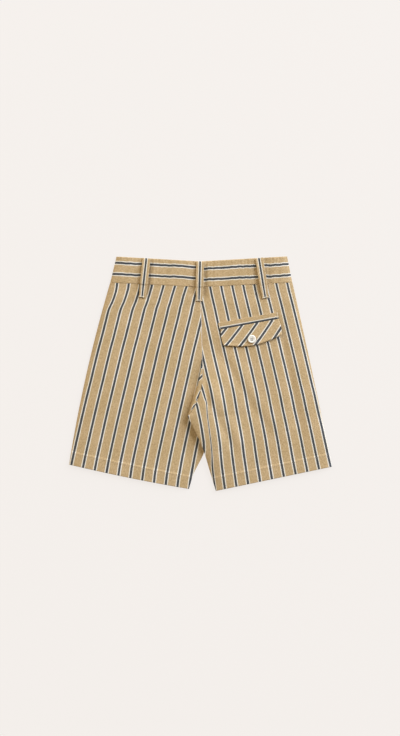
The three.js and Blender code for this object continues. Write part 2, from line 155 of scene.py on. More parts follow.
def band_seam_y(x):
    return BAND_SEAM_Y + BAND_SEAM_RISE * np.abs(x - BAND_CENTRE_X)


# %% [markdown]
# Soft folds
#
# Worn cotton never lies quite flat. Each fold is a straight run with a bell-shaped section that
# fades in at one end and out at the other: troughs fan out from the crotch over the right leg, and
# the left leg is almost smooth. They are listed one by one, because a simulated cloth would not put
# them where the real garment has them.

# %% Folds of the back panels
# Each row is (from x, from y, to x, to y, width, height)
RIGHT_FOLDS = [
    (8, 62, 116, -110, 6.5, -0.88), (-2, -12, 58, -132, 5.5, -1.15), (115, 92, 156, -118, 6.5, -1.1),
    (26, 56, 134, -112, 8, 0.6), (12, -2, 71, -130, 6.5, 0.9), (132, 60, 176, -120, 8, 0.42),
    (30, 110, 118, 96, 14, 0.4), (5.5, 4, 14, -60, 3.2, -2.0), (70, 24, 84, -40, 5, -0.5),
    (4, 146, 6, 106, 5, -1.7), (80, 146, 85, 106, 5, -1.7), (134, -48, 142, -84, 5, -0.5),
]
LEFT_FOLDS = [
    (-118, 124, -150, 84, 10, 0.7), (-64, 96, -96, -60, 14, -0.6), (-120, 40, -142, -90, 13, 0.5),
    (-44, 70, -66, -110, 12, 0.5), (-24, 60, -46, -90, 7, 0.4), (-96, 118, -112, 70, 7, -0.6),
    (-40, 10, -52, -80, 10, -0.7), (-150, 90, -168, 10, 9, 0.4), (-12, 144, -12, 112, 5, -1.0),
    (-79, 146, -82, 106, 5, -1.7), (-97, 142, -99, 116, 5, -0.8),
]


def fold_relief(folds, x, y):
    height = np.zeros_like(x)
    for x0, y0, x1, y1, width, rise in folds:
        length = math.hypot(x1 - x0, y1 - y0)
        along = ((x - x0) * (x1 - x0) + (y - y0) * (y1 - y0)) / length
        across = ((x - x0) * (y1 - y0) - (y - y0) * (x1 - x0)) / length
        fade = smooth(along, 0, length * 0.25) * (1 - smooth(along, length * 0.7, length))
        height += rise * fade * np.exp(-((across / width) ** 2))
    return height


def handling(x, y, seed):
    """Faint uneven waves, as of cloth that was smoothed out by hand."""
    return 0.09 * (
        np.sin(x / 17 + 0.6 * np.sin(y / 31 + seed) + seed)
        * np.sin(y / 43 + 0.8 * np.sin(x / 37 + 2 * seed) + 1.7 * seed)
        + 0.6 * np.sin(x / 9.1 - y / 27 + 3 * seed) * np.sin(y / 19 + seed)
    )


# %% [markdown]
# Heights of the cloth
#
# The height of each layer is a function of the place on the table, so that whatever lies on a
# panel, such as a belt loop, the pocket or a stitch, can ask for the height of the cloth under it.

# %% Height functions
def right_inner_x(y):
    return np.where(y > CROTCH_Y, follow(CENTRE_SEAM, y), follow(RIGHT_INSEAM, y))


def overlap_lift(x, y):
    """How far the right leg is held up by the left leg and by the thick seams at the crotch."""
    def between(top, full, ease, foot):
        return (1 - smooth(y, full, top)) * smooth(y, foot, ease)

    inner_x = right_inner_x(y)
    past_left = x - np.maximum(follow(LEFT_EDGE, y), inner_x) - OVERLAP_MARGIN
    overlap = OVERLAP_LIFT * between(*OVERLAP_ENDS) * (1 - smooth(past_left, 0, OVERLAP_RAMP))
    past_inner = x - inner_x - PROP_MARGIN
    return overlap + PROP_LIFT * between(*PROP_ENDS) * (1 - smooth(past_inner, 0, PROP_RAMP))


def seam_share(x, y):
    return 0.8 + 0.2 * roll(np.abs(x - follow(CENTRE_SEAM, y)), 30)


def left_puff(x, y):
    crotch = 1 - smooth(y, -10, 40)
    dip = roll(follow(LEFT_DIP, y) - 6 - x, DIP_REACH)
    share = lerp(seam_share(x, y), dip, crotch)
    edge = roll(x - side_x("left", y), SIDE_ROLL)
    relief = fold_relief(LEFT_FOLDS, x, y) + handling(x, y, 1.3)
    return np.maximum(0, (PANEL_PUFF + relief) * share * edge)


def right_puff(x, y):
    crotch = 1 - smooth(y, -10, 40)
    share = lerp(seam_share(x, y), roll(x - right_inner_x(y), 30), crotch)
    edge = roll(side_x("right", y) - x, SIDE_ROLL)
    relief = fold_relief(RIGHT_FOLDS, x, y) + handling(x, y, 4.1)
    return np.maximum(0, (PANEL_PUFF + relief) * share * edge)


def left_back_z(x, y):
    return CLOTH + LAYER_GAP + left_puff(x, y)


def right_back_z(x, y):
    return CLOTH + LAYER_GAP + overlap_lift(x, y) + right_puff(x, y)


def band_back_z(x, y):
    top_x, seam_x = (np.where(x < BAND_CENTRE_X, left, right) for left, right in zip(*BAND_ENDS.values()))
    down = np.clip((band_top_y(x) - y) / (BAND_TOP_Y - BAND_SEAM_Y), 0, 1)
    edge = np.abs(lerp(top_x, seam_x, down)) - np.abs(x)
    return BAND_CLOTH - 0.2 + (LAYER_GAP + 0.2 + BAND_PUFF) * roll(edge - 2, BAND_ROLL)


def outer_z(x, y):
    """Top of the cloth at a place: the waistband's, or the back panels'."""
    panel = np.where(x < follow(CENTRE_SEAM, y), left_back_z(x, y), right_back_z(x, y)) + CLOTH
    return np.where(y > band_seam_y(x), band_back_z(x, y) + BAND_CLOTH, panel)


# %% [markdown]
# Stripes that follow the cut
#
# On the real cloth the stripes are woven 17.5 mm apart, and they show how each panel was cut,
# eased and laid. A painted pattern would ignore that, so every point of cloth carries its own
# place in the weave in a UV map: U counts stripes across the warp, with a whole number in the
# middle of each dark one, and V is the distance along the warp. A crease that swallows cloth is
# then a place where U runs fast, and the stripe thins there by itself.

# %% Place in the weave of the back panels
STRIPE_PITCH = 17.5
# Rows of (y, x of the outermost stripe), and rows of (y, distance between stripes)
LEFT_STRIPE = [
    (138, -124.6), (125.3, -126.2), (110, -130.9), (95, -137.5), (80, -141.5), (58, -147), (35, -153.2),
    (-10, -164.1), (-55, -175.1), (-100, -185.4), (-122, -190.3), (-175, -201.8),
]
LEFT_PITCH = [
    (138, 17.6), (132, 17.46), (126, 17.27), (118, 17.2), (112, 17.25), (106, 17.42), (100, 17.59),
    (92, 17.8), (80, 17.83), (64, 17.82), (35, 17.9), (-55, 18.1), (-122, 18.2), (-150, 18.3),
]
RIGHT_STRIPE = [
    (138, 129.4), (125, 132.3), (110, 136.2), (95, 140.1), (80, 143.7), (58, 149.1), (35, 154.7), (12, 160.2),
    (-10, 165.4), (-32, 170.8), (-55, 175.8), (-77, 181), (-100, 186.1), (-122, 191), (-175, 203),
]
RIGHT_PITCH = [
    (138, 16.6), (110, 16.8), (35, 17.05), (-10, 17.1), (-55, 17.4), (-100, 17.7), (-122, 18), (-175, 18.6),
]
# The crease in the right panel below the crotch. Each row is (y, x, cloth that it swallows, width)
TUCK = [
    (-4, 4.5, 0, 11), (-18, 7.3, 5, 11), (-37, 11.5, 8, 11), (-46, 11.2, 11, 11), (-63, 10.5, 12.3, 11),
    (-85, 12.6, 12.8, 11), (-118, 16.4, 12.4, 12), (-135, 18.5, 8, 18), (-150, 21, 7.0, 24),
    (-176, 25, 7.4, 28),
]
TUCK_TAIL, TUCK_TAIL_REACH = 0.14, 44.0


def left_weave(x, y):
    return (x - follow(LEFT_STRIPE, y)) / follow(LEFT_PITCH, y), -y * MM


def tuck_column(column, y):
    return follow([(row[0], row[column]) for row in TUCK], y)


def right_weave(x, y):
    past = x - tuck_column(1, y)
    half_width = tuck_column(3, y) / 2
    share = (1 - TUCK_TAIL) * (1 - smooth(past, -half_width, half_width))
    share += TUCK_TAIL * (1 - smooth(past, half_width, TUCK_TAIL_REACH))
    laid_x = x - tuck_column(2, y) * share
    return 9 - (follow(RIGHT_STRIPE, y) - laid_x) / follow(RIGHT_PITCH, y), -y * MM


# %% [markdown]
# A wall of cloth
#
# Every piece is one closed wall: a grid for the outside, a grid for the inside, and a shared row
# of points where they meet. Extra columns and rows close to the edges round them off as a sewn
# or folded edge is rounded. A plane with a thickness modifier would give square edges
# instead, and would not know where two pieces touch.

# %% Grid and wall helpers
EDGE_STEPS_MM = (0.0, 0.06, 0.22, 0.5, 0.9)


def shares(count, length_mm, extra=()):
    """Places from 0 to 1 along a grid, with close steps at both ends and any extra ones."""
    ends = np.array(EDGE_STEPS_MM) / length_mm
    middle = np.linspace(0, 1, count)
    middle = middle[(middle > ends[-1] * 1.6) & (middle < 1 - ends[-1] * 1.6)]
    return np.unique(np.concatenate([ends, middle, 1 - ends, np.array(extra, float)]))


def wall(us, vs, place, rounds=(0.5, 0.5, 0.5, 0.5), lip=0.5):
    """Points, faces and weave of a closed wall. place(u, v) gives x, y, the underside, the
    thickness, and the place in the weave. rounds holds how far the edges at u = 0, u = 1, v = 0
    and v = 1 are rounded, in millimetres, and lip is where the two skins meet, from 0 at the
    underside to 1 at the top."""
    u, v = np.meshgrid(us, vs)
    x, y, under, thick, weave_u, weave_v = (np.broadcast_to(a, u.shape) for a in place(u, v))
    across = np.hypot(np.diff(x, axis=1), np.diff(y, axis=1))
    down = np.hypot(np.diff(x, axis=0), np.diff(y, axis=0))
    from_left = np.pad(np.cumsum(across, axis=1), ((0, 0), (1, 0)))
    from_top = np.pad(np.cumsum(down, axis=0), ((1, 0), (0, 0)))
    edges = (from_left, from_left[:, -1:] - from_left, from_top, from_top[-1:, :] - from_top)
    full = np.minimum.reduce([roll(edge, reach) for edge, reach in zip(edges, rounds)])
    middle = under + thick * lip
    top = middle + thick * (1 - lip) * full
    bottom = middle - thick * lip * full
    rows, columns = u.shape
    outside = np.arange(rows * columns).reshape(rows, columns)
    inside = outside.copy()
    inner = (rows - 2) * (columns - 2)
    inside[1:-1, 1:-1] = rows * columns + np.arange(inner).reshape(rows - 2, columns - 2)
    points = np.concatenate([
        np.stack([x, y, top], -1).reshape(-1, 3),
        np.stack([x, y, bottom], -1)[1:-1, 1:-1].reshape(-1, 3),
    ])
    weave = np.stack([weave_u, weave_v], -1)
    weave = np.concatenate([weave.reshape(-1, 2), weave[1:-1, 1:-1].reshape(-1, 2)])
    faces = []
    for index, flip in ((outside, False), (inside, True)):
        a, b, c, d = index[:-1, :-1], index[:-1, 1:], index[1:, 1:], index[1:, :-1]
        quad = (a, b, c, d) if flip else (a, d, c, b)
        faces.append(np.stack(quad, -1).reshape(-1, 4))
    return points, np.concatenate(faces), weave


def make_piece(name, walls, material):
    """One mesh from one or more walls, with the place in the weave as its UV map."""
    points, faces, weaves, start = [], [], [], 0
    for wall_points, wall_faces, wall_weave in walls:
        points.append(wall_points)
        faces.append(wall_faces + start)
        weaves.append(wall_weave)
        start += len(wall_points)
    points, faces, weaves = (np.concatenate(part) for part in (points, faces, weaves))
    mesh = bpy.data.meshes.new(name)
    mesh.from_pydata((points * MM).tolist(), [], faces.tolist())
    layer = mesh.uv_layers.new(name="weave")
    corner = np.empty(len(mesh.loops), int)
    mesh.loops.foreach_get("vertex_index", corner)
    layer.data.foreach_set("uv", weaves[corner].astype(np.float32).ravel())
    mesh.polygons.foreach_set("use_smooth", [True] * len(mesh.polygons))
    mesh.materials.append(material)
    mesh.update()
    piece = bpy.data.objects.new(name, mesh)
    bpy.context.scene.collection.objects.link(piece)
    size = points.max(axis=0) - points.min(axis=0)
    print(name, len(faces), "quads,", " x ".join(f"{s:.1f}" for s in size), "mm")
    return piece


# %% [markdown]
# Striped cotton drill
#
# The cloth is woven from tan yarn, with dark grey warp stripes about 3.4 mm wide, each with a
# cream stripe of a little over 1 mm on both sides. The shader reads the place in the weave: the
# distance to the nearest whole number of U gives the stripe, soft-edged as yarn is, and V gives
# the twill lines and the slubs along the warp. Noise in the weave's own space keeps the flecks
# running with the yarn. A matt surface with a little sheen is how brushed cotton takes light.

# %% Node helpers
def colour(red, green, blue):
    """A screen colour of 0 to 255 as the linear colour that a shader wants."""
    def linear(value):
        value /= 255
        return value / 12.92 if value <= 0.04045 else ((value + 0.055) / 1.055) ** 2.4
    return (linear(red), linear(green), linear(blue), 1.0)


class Nodes:
    """Short names for the few kinds of node that the materials are made of."""

    def __init__(self, name):
        self.material = bpy.data.materials.new(name)
        self.material.use_nodes = True
        self.tree = self.material.node_tree
        self.shader = self.tree.nodes["Principled BSDF"]

    def node(self, kind, inputs=(), **settings):
        made = self.tree.nodes.new(kind)
        for key, value in settings.items():
            setattr(made, key, value)
        for socket, value in dict(inputs).items():
            if isinstance(value, bpy.types.NodeSocket):
                self.tree.links.new(value, made.inputs[socket])
            else:
                made.inputs[socket].default_value = value
        return made

    def maths(self, operation, *values):
        return self.node("ShaderNodeMath", dict(enumerate(values)), operation=operation).outputs[0]

    def band(self, value, low, high, start=0.0, end=1.0):
        inputs = {"Value": value, "From Min": low, "From Max": high, "To Min": start, "To Max": end}
        made = self.node("ShaderNodeMapRange", inputs, interpolation_type="SMOOTHSTEP")
        return made.outputs["Result"]

    def noise(self, vector, scale, detail=2.0):
        inputs = {"Vector": vector, "Scale": scale, "Detail": detail}
        return self.node("ShaderNodeTexNoise", inputs).outputs["Fac"]

    def stretch(self, vector, x, y, z=1.0):
        inputs = {0: vector, 1: (x, y, z)}
        return self.node("ShaderNodeVectorMath", inputs, operation="MULTIPLY").outputs[0]

    def mix(self, factor, first, second, blend="MIX"):
        made = self.node("ShaderNodeMix", data_type="RGBA", blend_type=blend)
        for socket, value in ((made.inputs[0], factor), (made.inputs[6], first), (made.inputs[7], second)):
            if isinstance(value, bpy.types.NodeSocket):
                self.tree.links.new(value, socket)
            else:
                socket.default_value = value
        return made.outputs[2]

    def to_shader(self, socket, value):
        self.tree.links.new(value, self.shader.inputs[socket])

    def bump(self, height, distance, strength, under=None):
        inputs = {"Height": height, "Distance": distance, "Strength": strength}
        if under is not None:
            inputs["Normal"] = under
        return self.node("ShaderNodeBump", inputs).outputs["Normal"]


# %% The drill's material
TAN = colour(187, 158, 116)
TAN_DEEP = colour(172, 143, 101)
TAN_PALE = colour(205, 177, 136)
CREAM = colour(231, 221, 204)
INK = colour(65, 67, 70)
INK_WORN = colour(92, 93, 95)
DARK_HALF_MM = 1.7
CREAM_END_MM = 3.05
EDGE_SOFT_MM = 0.3
TWILL_PER_MM = 1.35
TWILL_SLANT_PER_M = 1400.0
BUMP_DEPTH_M = 0.00012
# How far each kind of noise is stretched along the warp (units to a metre), its scale and detail
YARN = (90.0, 1.5, 3.0)
SLUB = (500.0, 0.45, 2.0)
FLECK = (600.0, 0.62, 3.0)
WASH = (700.0, 0.045, 2.0)
WANDER_MM, WANDER_SCALE = 0.5, 0.5
# Darkest and palest wash of red, green and blue
WASH_LIMITS = ((0.95, 1.04), (0.945, 1.045), (0.915, 1.075))


def striped_drill():
    n = Nodes("striped_drill")
    weave = n.node("ShaderNodeUVMap", uv_map="weave").outputs[0]
    parts = n.node("ShaderNodeSeparateXYZ", {0: weave})
    stripes, along = parts.outputs[0], parts.outputs[1]

    # Yarns: noise that is long down the warp and fine across it
    yarn_space = n.stretch(weave, STRIPE_PITCH, YARN[0])
    yarn = n.noise(yarn_space, *YARN[1:])
    slub, fleck, wash = (
        n.noise(n.stretch(weave, STRIPE_PITCH, along_warp), scale, detail)
        for along_warp, scale, detail in (SLUB, FLECK, WASH)
    )

    # Distance from the middle of the nearest dark stripe, in millimetres, with a little wander
    wander = n.maths("MULTIPLY_ADD", n.noise(yarn_space, WANDER_SCALE, 1.0), WANDER_MM, -WANDER_MM / 2)
    nearest = n.maths("ABSOLUTE", n.maths("SUBTRACT", stripes, n.maths("ROUND", stripes)))
    distance = n.maths("MULTIPLY_ADD", nearest, STRIPE_PITCH, wander)
    dark = n.band(distance, DARK_HALF_MM - EDGE_SOFT_MM, DARK_HALF_MM + EDGE_SOFT_MM, 1.0, 0.0)
    cream = n.band(distance, CREAM_END_MM - EDGE_SOFT_MM, CREAM_END_MM + EDGE_SOFT_MM, 1.0, 0.0)

    ground = n.mix(n.band(yarn, 0.3, 0.7), TAN, TAN_PALE)
    ground = n.mix(n.maths("MULTIPLY", n.band(slub, 0.35, 0.7), 0.3), ground, TAN_DEEP)
    ground = n.mix(n.maths("MULTIPLY", n.band(fleck, 0.42, 0.66), 0.8), ground, TAN_DEEP)
    ink = n.mix(n.band(yarn, 0.45, 0.8), INK, INK_WORN)
    base = n.mix(cream, ground, CREAM)
    base = n.mix(dark, base, ink)
    tones = {channel: n.band(wash, 0.3, 0.7, *ends) for channel, ends in enumerate(WASH_LIMITS)}
    tone = n.node("ShaderNodeCombineColor", tones).outputs[0]
    n.to_shader("Base Color", n.mix(1.0, base, tone, "MULTIPLY"))

    # Twill: fine diagonal ridges, broken up by the yarns
    across_mm = n.maths("MULTIPLY", stripes, STRIPE_PITCH)
    diagonal = n.maths("ADD", across_mm, n.maths("MULTIPLY", along, TWILL_SLANT_PER_M))
    ridge = n.maths("SINE", n.maths("MULTIPLY", diagonal, 2 * math.pi * TWILL_PER_MM))
    height = n.maths("ADD", n.maths("MULTIPLY", ridge, 0.35), n.maths("MULTIPLY", yarn, 1.3))
    n.to_shader("Normal", n.bump(height, BUMP_DEPTH_M, 0.5))
    n.to_shader("Roughness", n.band(yarn, 0.3, 0.7, 0.86, 0.96))
    n.shader.inputs["Specular IOR Level"].default_value = 0.25
    n.shader.inputs["Sheen Weight"].default_value = 0.12
    n.shader.inputs["Sheen Roughness"].default_value = 0.5
    return n.material


drill = striped_drill()

# %% [markdown]
# Back panels
#
# Each back panel is a grid whose rows run from the centre seam and inseam across to the side
# seam. The hem is turned up inside, so the wall is double over its last 20 mm, and its fold stands
# a little proud of the panel.

# %% Plan of a panel
def inner_row_y(share, bottom):
    upper = lerp(BAND_SEAM_Y - BAND_SEAM_GAP, CROTCH_Y, share / CROTCH_SHARE)
    middle = lerp(CROTCH_Y, LEGS_PART_Y, (share - CROTCH_SHARE) / (PART_SHARE - CROTCH_SHARE))
    lower = lerp(LEGS_PART_Y, bottom, (share - PART_SHARE) / (1 - PART_SHARE))
    return np.where(share <= CROTCH_SHARE, upper, np.where(share <= PART_SHARE, middle, lower))


def panel_plan(side, u, v):
    """x and y of a place in a panel: u runs towards +X and v from the waist to the hem."""
    hem = LEFT_HEM if side == "left" else RIGHT_HEM
    seam_x = BAND_ENDS[side][1]
    inner_y = inner_row_y(v, hem["inner"][1])
    outer_y = lerp(band_seam_y(seam_x) - BAND_SEAM_GAP, hem["outer"][1], v)
    outer_x = side_x(side, outer_y)
    bow = hem["bow"] * np.sin(math.pi * u) * v**8
    if side == "left":
        return lerp(outer_x, follow(LEFT_EDGE, inner_y), u), lerp(outer_y, inner_y, u) - bow
    seam = follow(CENTRE_SEAM, inner_y) + SEAM_GAP / 2
    inner_x = np.where(v <= CROTCH_SHARE + 1e-6, seam, follow(RIGHT_INSEAM, inner_y))
    return lerp(inner_x, outer_x, u), lerp(inner_y, outer_y, u) - bow


HEM_TURN_STEPS = [1 - HEM_SHARE + step for step in (-0.004, -0.001, 0.002, 0.005)]
PANEL_US = shares(135, 190)
PANEL_VS = shares(185, 290, HEM_TURN_STEPS + [CROTCH_SHARE, PART_SHARE])
HEM_EASED_MM, HEM_EASED_X = 2.1, (-190, -60)


def hem_extra(v):
    return HEM_EXTRA * smooth(v, HEM_TURN_STEPS[0], HEM_TURN_STEPS[-1])


def hem_eased(x, v):
    """The left leg's inner stripes run a little straighter down the turned-up hem than above it."""
    down_the_hem = smooth(v, 1 - HEM_SHARE, 1 + HEM_SHARE * 0.6)
    return x - HEM_EASED_MM * smooth(x, *HEM_EASED_X) * down_the_hem


def back_panel(side):
    height, weave = (left_back_z, left_weave) if side == "left" else (right_back_z, right_weave)

    def place(u, v):
        x, y = panel_plan(side, u, v)
        turned = hem_extra(v)
        stripe, along = weave(hem_eased(x, v) if side == "left" else x, y)
        return x, y, height(x, y) + turned, CLOTH + turned, stripe, along

    inner_round, outer_round = (0.35, 0.8) if side == "right" else (0.8, 0.35)
    return wall(PANEL_US, PANEL_VS, place, rounds=(inner_round, outer_round, 0.12, 0.9), lip=0.6)


# %% [markdown]
# The fork of the left back
#
# Where the crotch has flopped over, the narrow fork of the left back is folded up and lies on its
# own panel, with the centre seam along its far side. It is a short strip with a rolled edge, whose
# foot lifts to follow the raised crotch. Its stripes run across it at a slant, because it has been
# turned over.

# %% Fork strip and the two back panels
FORK_TOP_Y, FORK_FOOT_Y = 21.0, -62.6
FORK_LIFT_SHARE, FORK_LIFT_DOWN = 0.7, (42, 62.6)
FORK_ROLL_SHARE, FORK_WARP_MM = 0.55, 6
# Each length of stripe that shows on the strip: (from x, from y, to x, to y, width as a share)
FORK_STRIPES = [
    (2.6, 20, 1.2, 9, 0.75), (0.6, 9, -4.6, -17.8, 0.3), (3.0, -2.7, -2.8, -9.0, 0.8),
    (-0.2, -27.5, -4.4, -36.4, 0.75), (-4.4, -36.4, -6.0, -40, 0.4), (-6.6, -46.3, -9.8, -49.2, 0.8),
    (-9.8, -49.2, -13.5, -53.5, 0.35),
]


def fork_weave(x, y):
    """Distance from the nearest stripe on the strip, as a share of the pitch."""
    nearest = np.full_like(x, STRIPE_PITCH / 2)
    for x0, y0, x1, y1, width in FORK_STRIPES:
        run_x, run_y = x1 - x0, y1 - y0
        along = np.clip(((x - x0) * run_x + (y - y0) * run_y) / (run_x**2 + run_y**2), 0, 1)
        nearest = np.minimum(nearest, np.hypot(x - x0 - along * run_x, y - y0 - along * run_y) / width)
    return nearest / STRIPE_PITCH


def fork_strip():
    def place(u, v):
        y = lerp(FORK_TOP_Y, FORK_FOOT_Y, v)
        seam_x = follow(CENTRE_SEAM, y) - 0.05
        crease_x = np.minimum(follow(FORK_CREASE, y), seam_x - 0.6)
        crown = right_back_z(seam_x + 0.4, y) - 0.1
        lifted = FORK_LIFT_SHARE * smooth(-y, *FORK_LIFT_DOWN)
        floor = lerp(CLOTH + LAYER_GAP + CLOTH * 0.6, crown, lifted)
        under = lerp(floor, crown, roll(u, FORK_ROLL_SHARE))
        x = lerp(crease_x, seam_x, u)
        return x, y, under, CLOTH, fork_weave(x, y), u * FORK_WARP_MM * MM

    return wall(shares(26, 12), shares(230, 85), place, rounds=(0.6, 0.3, 0.6, 0.6))


back_left = make_piece("back_left_panel", [back_panel("left"), fork_strip()], drill)
back_right = make_piece("back_right_panel", [back_panel("right")], drill)
for piece, side in ((back_left, "left"), (back_right, "right")):
    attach(piece, "root")
    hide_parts("back_" + side)

# %% [markdown]
# Front panels
#
# The front lies flat on the table under the back. Its panels follow the same plan, are coarser
# because only their edges can be seen, and carry the same stripes.

# %% Front panels
def front_panel(side):
    weave = left_weave if side == "left" else right_weave

    def place(u, v):
        x, y = panel_plan(side, u, v)
        lift = overlap_lift(x, y) if side == "right" else np.zeros_like(x)
        return (x, y, lift, CLOTH + hem_extra(v), *weave(x, y))

    return wall(shares(60, 190), shares(90, 290, HEM_TURN_STEPS + [CROTCH_SHARE, PART_SHARE]), place)


for side in ("left", "right"):
    piece = make_piece("front_" + side + "_panel", [front_panel(side)], drill)
    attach(piece, "root")
    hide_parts("front_" + side)

# %% [markdown]
# Waistband
#
# The band is a doubled strip cut along the warp, so its stripes run round the waist. Each half goes
# from the centre back round the side fold to the centre front, made as a back wall over a flat front wall in
# one mesh.
# Sewing it down has drawn it up into small upright puckers, strongest along the top, and the belt
# loops have pulled dents into it on both sides of them.

# %% Waistband halves
BAND_STRIPE_STEP = 16.4
# Each row is (x, depth of the upper stripe below the band's top edge); the centre loop hides the step
BAND_STRIPE_DEPTH = {
    "left": [(0, 9.8), (-9, 9.2), (-30, 8.6), (-60, 8.9), (-130, 9.3)],
    "right": [(135, 10.9), (104, 12.0), (96, 11.4), (60, 11.2), (30, 11.4), (0, 11.4)],
}
# Each row is (x, width, depth from, depth to, height) of an upright dent or swell in the band
BAND_DENTS = [
    (-94, 6.0, -6, 60, -1.0), (-77.5, 4.5, 4, 60, -1.6), (-10, 4.0, -6, 60, -0.55), (4.5, 4.5, 6, 60, -1.3),
    (81, 4.0, 10, 60, -1.3), (99, 5.0, -4, 60, -1.0), (-40, 9.0, -10, 30, 0.25), (48, 12.0, -10, 40, 0.3),
]


def puckers(x, depth):
    fine = np.sin(x / 0.82 + 0.9 * np.sin(x / 9.7)) * (0.6 + 0.4 * np.sin(x / 13.3 + 1.1))
    broad = np.sin(x / 1.9 + 1.3 * np.sin(x / 21) + depth / 30)
    height = (0.22 * fine + 0.24 * broad) * (0.3 + 0.7 * np.exp(-depth / 9)) * smooth(depth, 0, 1.2)
    for dent_x, width, start, end, rise in BAND_DENTS:
        fade = smooth(depth, start, start + 8) * (1 - smooth(depth, end - 8, end))
        height = height + rise * fade * np.exp(-(((x - dent_x - 0.05 * np.sign(x) * depth) / width) ** 2))
    return height


def band_half(side):
    sign = -1 if side == "left" else 1
    top_end, seam_end = BAND_ENDS[side]

    def place(u, v):
        outwards = 1 - u if side == "left" else u
        centre = BAND_CENTRE_X + sign * SEAM_GAP / 2
        top_x, seam_x = lerp(centre, top_end, outwards), lerp(centre, seam_end, outwards)
        x = lerp(top_x, seam_x, v)
        y = lerp(band_top_y(top_x), band_seam_y(seam_x), v)
        depth = v * (BAND_TOP_Y - BAND_SEAM_Y)
        stripe_depth = np.interp(x, *zip(*sorted(BAND_STRIPE_DEPTH[side])))
        wobble = 0.16 * np.sin(x / 7.1) + 0.24 * np.sin(x / 1.9 + np.sin(x / 11)) * np.sin(x / 17 + 1)
        under = band_back_z(x, y) + puckers(x, depth)
        return x, y, under, BAND_CLOTH, (depth - stripe_depth + wobble) / BAND_STRIPE_STEP, x * MM

    def front_place(u, v):
        x, y, _, _, stripe, along = place(u, v)
        return x, y, 0.0, BAND_CLOTH - 0.25, stripe, along

    ends = (1.0, 0.2) if side == "left" else (0.2, 1.0)
    back = wall(shares(240, 135), shares(40, 39), place, rounds=(*ends, 1.2, 0.12), lip=0.35)
    front = wall(shares(60, 135), shares(14, 39), front_place)
    return [back, front]


for side in ("left", "right"):
    piece = make_piece("waistband_" + side + "_half", band_half(side), drill)
    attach(piece, "root")
    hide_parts("waistband_" + side)

# %% [markdown]
# Belt loops
#
# A belt loop is a folded strip about 12 mm wide with one stripe down it. Its top is caught in the
# band's upper edge, it bows clear of the band so that a belt goes under, and its foot is tacked
# below the band.

# %% Belt loops
LOOP_WIDTH, LOOP_TAPER, LOOP_CLOTH, LOOP_STAND_OFF, LOOP_BED_GAP = 11.8, 0.16, 1.1, 1.3, 0.3
LOOP_STRIPE_SHARE, LOOP_EDGE_TURN, LOOP_LENGTH = 0.84, 0.25, 60
# Each loop's (top x, foot x, foot y, how far its stripe lies off the middle)
LOOPS = {
    "belt_loop_left": (-80.7, -87.3, 113.4, -0.4),
    "belt_loop_centre": (-0.4, -2.1, 108.0, -0.2),
    "belt_loop_right": (87.6, 97.4, 112.5, -0.3),
}


def loop_strip(top_x, foot_x, foot_y, stripe_off):
    top_y = band_top_y(top_x) - 0.1
    run = np.array([foot_x - top_x, foot_y - top_y])
    across = np.array([-run[1], run[0]]) / np.hypot(*run) * LOOP_WIDTH

    def place(u, v):
        narrow = 1 - LOOP_TAPER * smooth(v, 0.55, 1)
        x = top_x + run[0] * v + across[0] * (u - 0.5) * narrow
        y = top_y + run[1] * v + across[1] * (u - 0.5) * narrow
        bed = outer_z(top_x + run[0] * v, top_y + run[1] * v)
        bow = LOOP_STAND_OFF * np.sin(math.pi * v) ** 0.7
        edge_turn = LOOP_EDGE_TURN * smooth(np.abs(u - 0.5), 0.28, 0.42)
        stripe = ((u - 0.5) * LOOP_WIDTH - stripe_off) / (STRIPE_PITCH * LOOP_STRIPE_SHARE)
        return x, y, bed + LOOP_BED_GAP + bow, LOOP_CLOTH + edge_turn, stripe, v * LOOP_LENGTH * MM

    return wall(shares(15, LOOP_WIDTH), shares(50, LOOP_LENGTH), place, rounds=(0.7, 0.7, 0.8, 0.5))


for name, sizes in LOOPS.items():
    piece = make_piece(name + "_strip", [loop_strip(*sizes)], drill)
    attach(piece, "root")
    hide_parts(name)

# %% [markdown]
# Back pocket
#
# The pocket's mouth is finished with a welt cut so that a stripe runs along its lower edge, and a
# shaped flap cut on the bias hangs from it. The flap is a second layer that stands a little off the
# panel, most at its outer end, where it throws a soft shadow, and its turned edge is thicker.

# %% Welt and flap
POCKET_X, POCKET_Y, POCKET_SLANT, POCKET_WIDTH = 28.3, 65.7, math.radians(10.3), 90.2
WELT_DEPTH, WELT_CLOTH, WELT_BED_GAP = 9.9, 0.8, 0.3
FLAP_SIDE, FLAP_POINT, FLAP_FLARE, FLAP_CLOTH, FLAP_BED_GAP = 24.6, 32.6, 1.4, 1.1, 0.35
FLAP_INSET, FLAP_DROOP, FLAP_LIFTED_END = 1.8, 0.6, 1.0
FLAP_EDGE_TURN, FLAP_TURN_STARTS, FLAP_TURN_FULL = 0.65, 5, 2
WELT_STRIPE_UP, WELT_STRIPE_SHARE = 1.4, 0.88
FLAP_STRIPE_AT, FLAP_STRIPE_RUN, FLAP_STRIPE_LEAN, FLAP_STRIPE_FAN = (50.6, 57), 20.8, 0.735, 0.19


def pocket_plan(along, down):
    return (
        POCKET_X + along * math.cos(POCKET_SLANT) + down * math.sin(POCKET_SLANT),
        POCKET_Y + along * math.sin(POCKET_SLANT) - down * math.cos(POCKET_SLANT),
    )


def welt():
    def place(u, v):
        down = (v - 1) * WELT_DEPTH - SEAM_GAP
        x, y = pocket_plan(u * POCKET_WIDTH, down)
        stripe = (down + WELT_STRIPE_UP) / (STRIPE_PITCH * WELT_STRIPE_SHARE)
        return x, y, outer_z(x, y) + WELT_BED_GAP, WELT_CLOTH, stripe, x * MM

    return wall(shares(70, POCKET_WIDTH), shares(14, WELT_DEPTH), place, rounds=(0.4, 0.4, 0.4, 0.25))


def flap_depth(along):
    return lerp(FLAP_POINT, FLAP_SIDE, np.abs(along * 2 - 1) ** 1.7)


